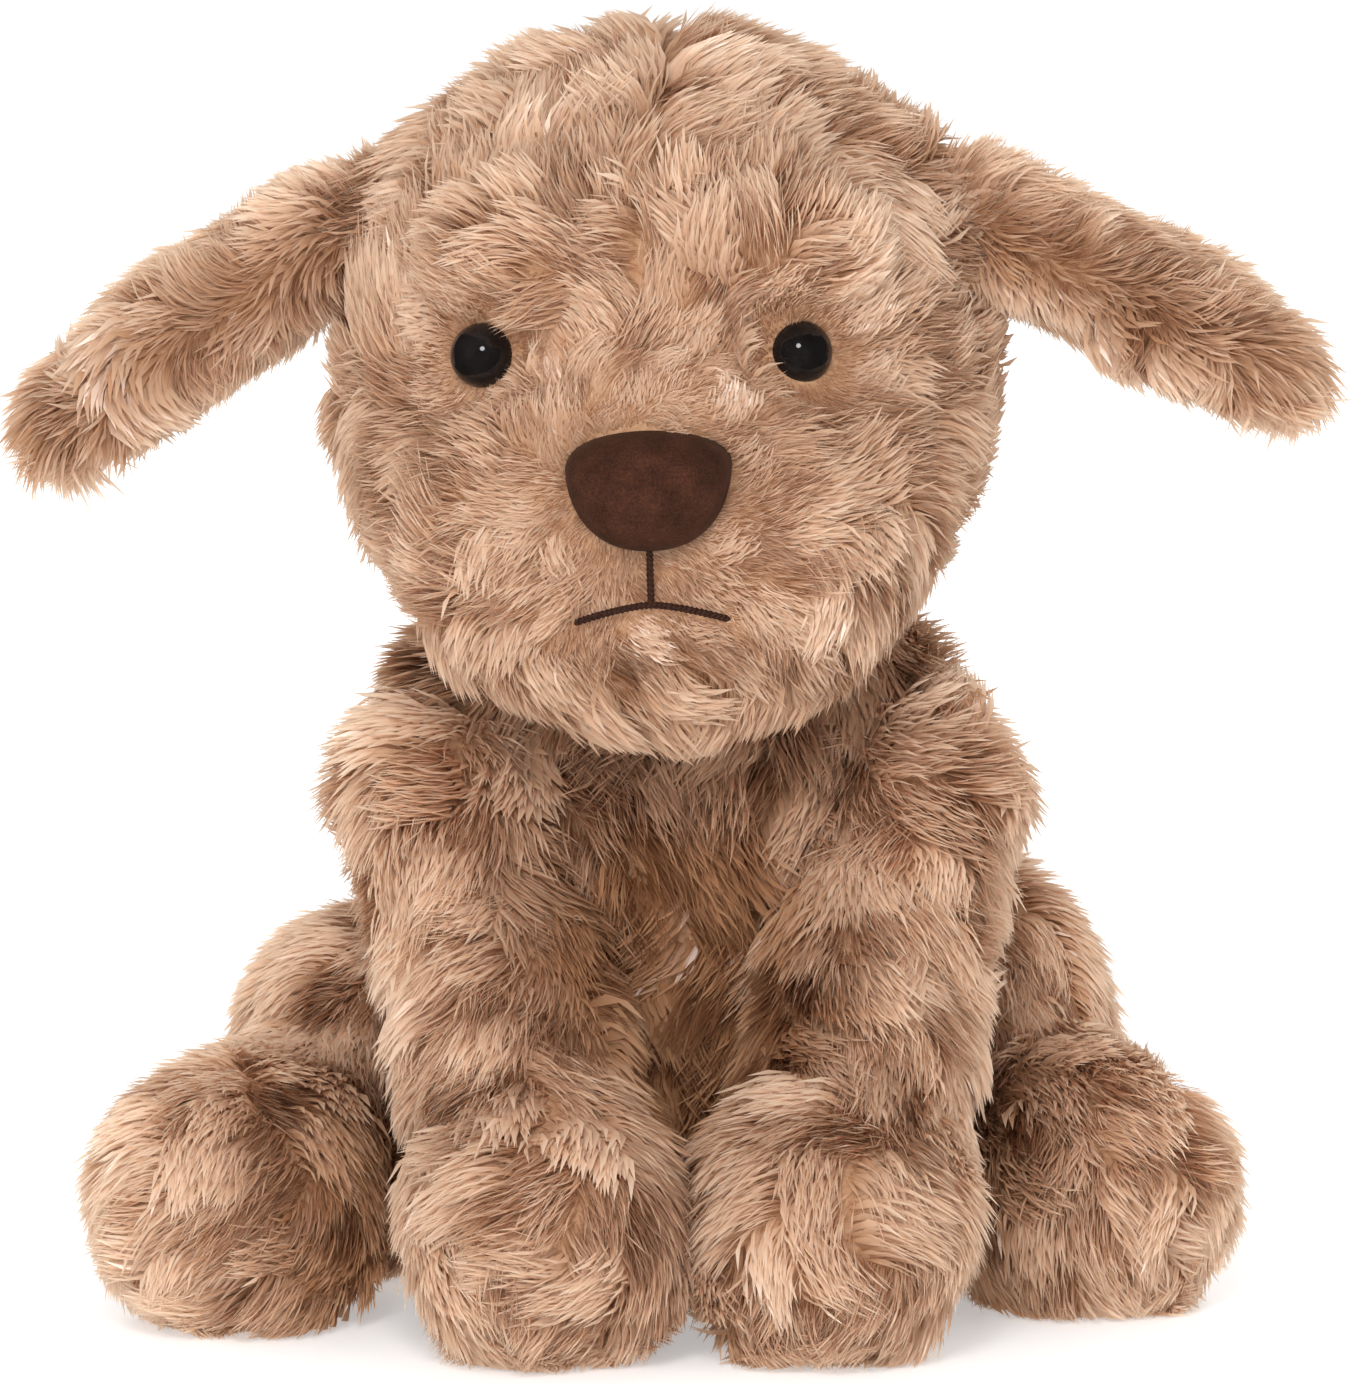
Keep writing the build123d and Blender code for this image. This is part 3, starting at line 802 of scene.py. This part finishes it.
def twisted_thread(name, route, radius, body, nodes, material, plies=2, twist=1.6 * MM):
    """Thread plies wound round a route of points."""
    route = np.array(route)
    steps = np.linalg.norm(np.diff(route, axis=0), axis=1)
    far = np.concatenate([[0], np.cumsum(steps)])
    count = max(12, int(far[-1] / (0.25 * MM)))
    s = np.linspace(0, far[-1], count)
    line = np.stack([np.interp(s, far, route[:, k]) for k in range(3)], axis=1)
    way = unit(np.gradient(line, axis=0))
    side = unit(np.cross(way, [0, -1.0, 0.001]))
    front = np.cross(side, way)
    curve = bpy.data.curves.new(name, "CURVE")
    curve.dimensions, curve.bevel_depth, curve.bevel_resolution = "3D", radius * 0.58, 3
    for ply in range(plies):
        turn = 2 * math.pi * (s / twist + ply / plies)
        ply_line = line + (side * np.cos(turn)[:, None] + front * np.sin(turn)[:, None]) * radius * 0.5
        spline = curve.splines.new("POLY")
        spline.points.add(count - 1)
        spline.points.foreach_set("co", np.hstack([ply_line, np.ones((count, 1))]).ravel())
    holder = link(name + "_curve", curve)
    mesh = bpy.data.meshes.new_from_object(holder.evaluated_get(bpy.context.evaluated_depsgraph_get()))
    bpy.data.objects.remove(holder)
    mesh.name = name
    piece = link(name, mesh)
    mesh.polygons.foreach_set("use_smooth", np.ones(len(mesh.polygons), bool))
    mesh.materials.clear()
    mesh.materials.append(material)
    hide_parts(*nodes)
    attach(piece, body)


def muzzle_front(x, z, above):
    """The front of the muzzle's skin at x, z, and this far in front of it."""
    distance = joined(head_forms(), 4.0, SKIN_INSET)
    p = np.array([[x, -0.1, z]])
    for _ in range(40):
        p[:, 1] += distance(p)
    return [x, p[0, 1] - above, z]


def build_mouth():
    above = 2.6 * MM
    top = NOSE_Z - 9.6 * MM
    steps = np.linspace(0, 1, 9)
    routes = {"lip_thread": [(0.0, top + (MOUTH_Z - 1.0 * MM - top) * t) for t in steps]}
    for side, sign in SIDES:
        routes[f"mouth_thread_{side}"] = [
            (sign * 12.2 * MM * t, MOUTH_Z - 1.0 * MM - 2.8 * MM * t**1.5) for t in steps]
    for name, route in routes.items():
        line = turned_head(np.array([muzzle_front(x, z, above) for x, z in route]))
        twisted_thread(f"{name}_plies", line, 0.6 * MM, "head", [name], MATERIALS["mouth"])


# ------------------------------------------------------------------ carried-over CAD nodes
def finish_nodes():
    by_slot = {"filling": "filling", "washer": "washer", "seam_thread": "seam", "pouch_cloth": "pouch",
               "pellet": "pellet", "mouth_thread": "mouth", "nose_suede": "suede", "eye": "eye",
               "fur": "backing"}
    for sub in frame["record"]["subparts"]:
        holder = bpy.data.objects.get(sub["node"])
        if holder is None:
            continue
        for place in holder.material_slots:
            place.material = MATERIALS[by_slot[sub["material_slot"]]]


# ------------------------------------------------------------------ camera, light and floor
def build_camera():
    azimuth, elevation, distance = math.radians(-2.0), math.radians(10.0), 3.0
    target = Vector((-0.0002, -0.022, 0.0990))
    level = math.cos(elevation)
    back = Vector((math.sin(azimuth) * level, -math.cos(azimuth) * level, math.sin(elevation)))
    data = bpy.data.cameras.new("camera")
    data.lens = 480.0
    data.sensor_width = 36.0
    camera = bpy.data.objects.new("camera", data)
    bpy.context.scene.collection.objects.link(camera)
    camera.location = target + back * distance
    camera.rotation_euler = (-back).to_track_quat("-Z", "Y").to_euler()
    bpy.context.scene.camera = camera


def area_light(name, place, aim, size, power, shines=True):
    data = bpy.data.lights.new(name, "AREA")
    data.shape, data.size, data.energy = "DISK", size, power
    lamp = bpy.data.objects.new(name, data)
    bpy.context.scene.collection.objects.link(lamp)
    lamp.location = place
    lamp.rotation_euler = (Vector(aim) - Vector(place)).to_track_quat("-Z", "Y").to_euler()
    lamp.visible_glossy = shines


def build_studio():
    """A white studio with a key lamp over the camera, a large soft one beside it and one behind the dog."""
    world = bpy.data.worlds.new("studio")
    bpy.context.scene.world = world
    world.use_nodes = True
    tree = world.node_tree
    place, split = node(tree, "ShaderNodeTexCoord"), node(tree, "ShaderNodeSeparateXYZ")
    tree.links.new(place.outputs["Generated"], split.inputs[0])
    sky = ramp(tree, split.outputs["Z"], [(0.12, (1.0, 1.0, 1.0)), (0.35, (0.7, 0.7, 0.7))])
    tree.links.new(sky, tree.nodes["Background"].inputs["Color"])
    world.cycles_visibility.glossy = False
    middle = (0, -0.03, 0.11)
    area_light("key", (-0.1, -1.05, 0.8), middle, 0.32, 5.2)
    area_light("front", (-0.35, -1.25, 0.25), middle, 1.2, 9.2, shines=False)
    area_light("rim", (0.2, 0.9, 0.9), middle, 0.6, 4.0, shines=False)
    bpy.ops.mesh.primitive_plane_add(size=24)
    floor = bpy.context.object
    floor.name = "floor"
    floor.data.materials.append(plain_material("floor_white", (0.85, 0.85, 0.85), 0.9))
    glow = floor.data.materials[0].node_tree.nodes["Principled BSDF"]
    glow.inputs["Emission Color"].default_value = (1, 1, 1, 1)
    glow.inputs["Emission Strength"].default_value = 0.4
    floor.visible_glossy = False
    floor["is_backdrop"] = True
    bpy.context.scene.view_settings.view_transform = "Standard"


MATERIALS = {
    "fur": fur_material(),
    "backing": backing_material(),
    "eye": eye_material(),
    "suede": suede_material(),
    "mouth": thread_material("mouth_thread", (0.018, 0.006, 0.003), (0.055, 0.020, 0.011)),
    "seam": thread_material("seam_thread", (0.30, 0.18, 0.11), (0.45, 0.28, 0.17)),
    "filling": speckled_material("filling_fibre", (0.78, 0.78, 0.76), (0.93, 0.93, 0.92), 700.0, 0.9, 0.8),
    "washer": speckled_material("washer_plastic", (0.72, 0.72, 0.70), (0.78, 0.78, 0.76), 400.0, 0.45, 0.1),
    "pouch": speckled_material("pouch_weave", (0.7, 0.69, 0.66), (0.84, 0.83, 0.80), 1500.0, 0.85, 0.5),
    "pellet": speckled_material("pellet_plastic", (0.70, 0.70, 0.69), (0.9, 0.9, 0.9), 350.0, 0.35, 0.9),
}

build_camera()
build_studio()
build_fur_parts()
build_eyes()
build_nose()
build_mouth()
finish_nodes()
boxes = {"cad": cad_box, "visual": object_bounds()}
{name: [list(corner) for corner in box] for name, box in boxes.items()}
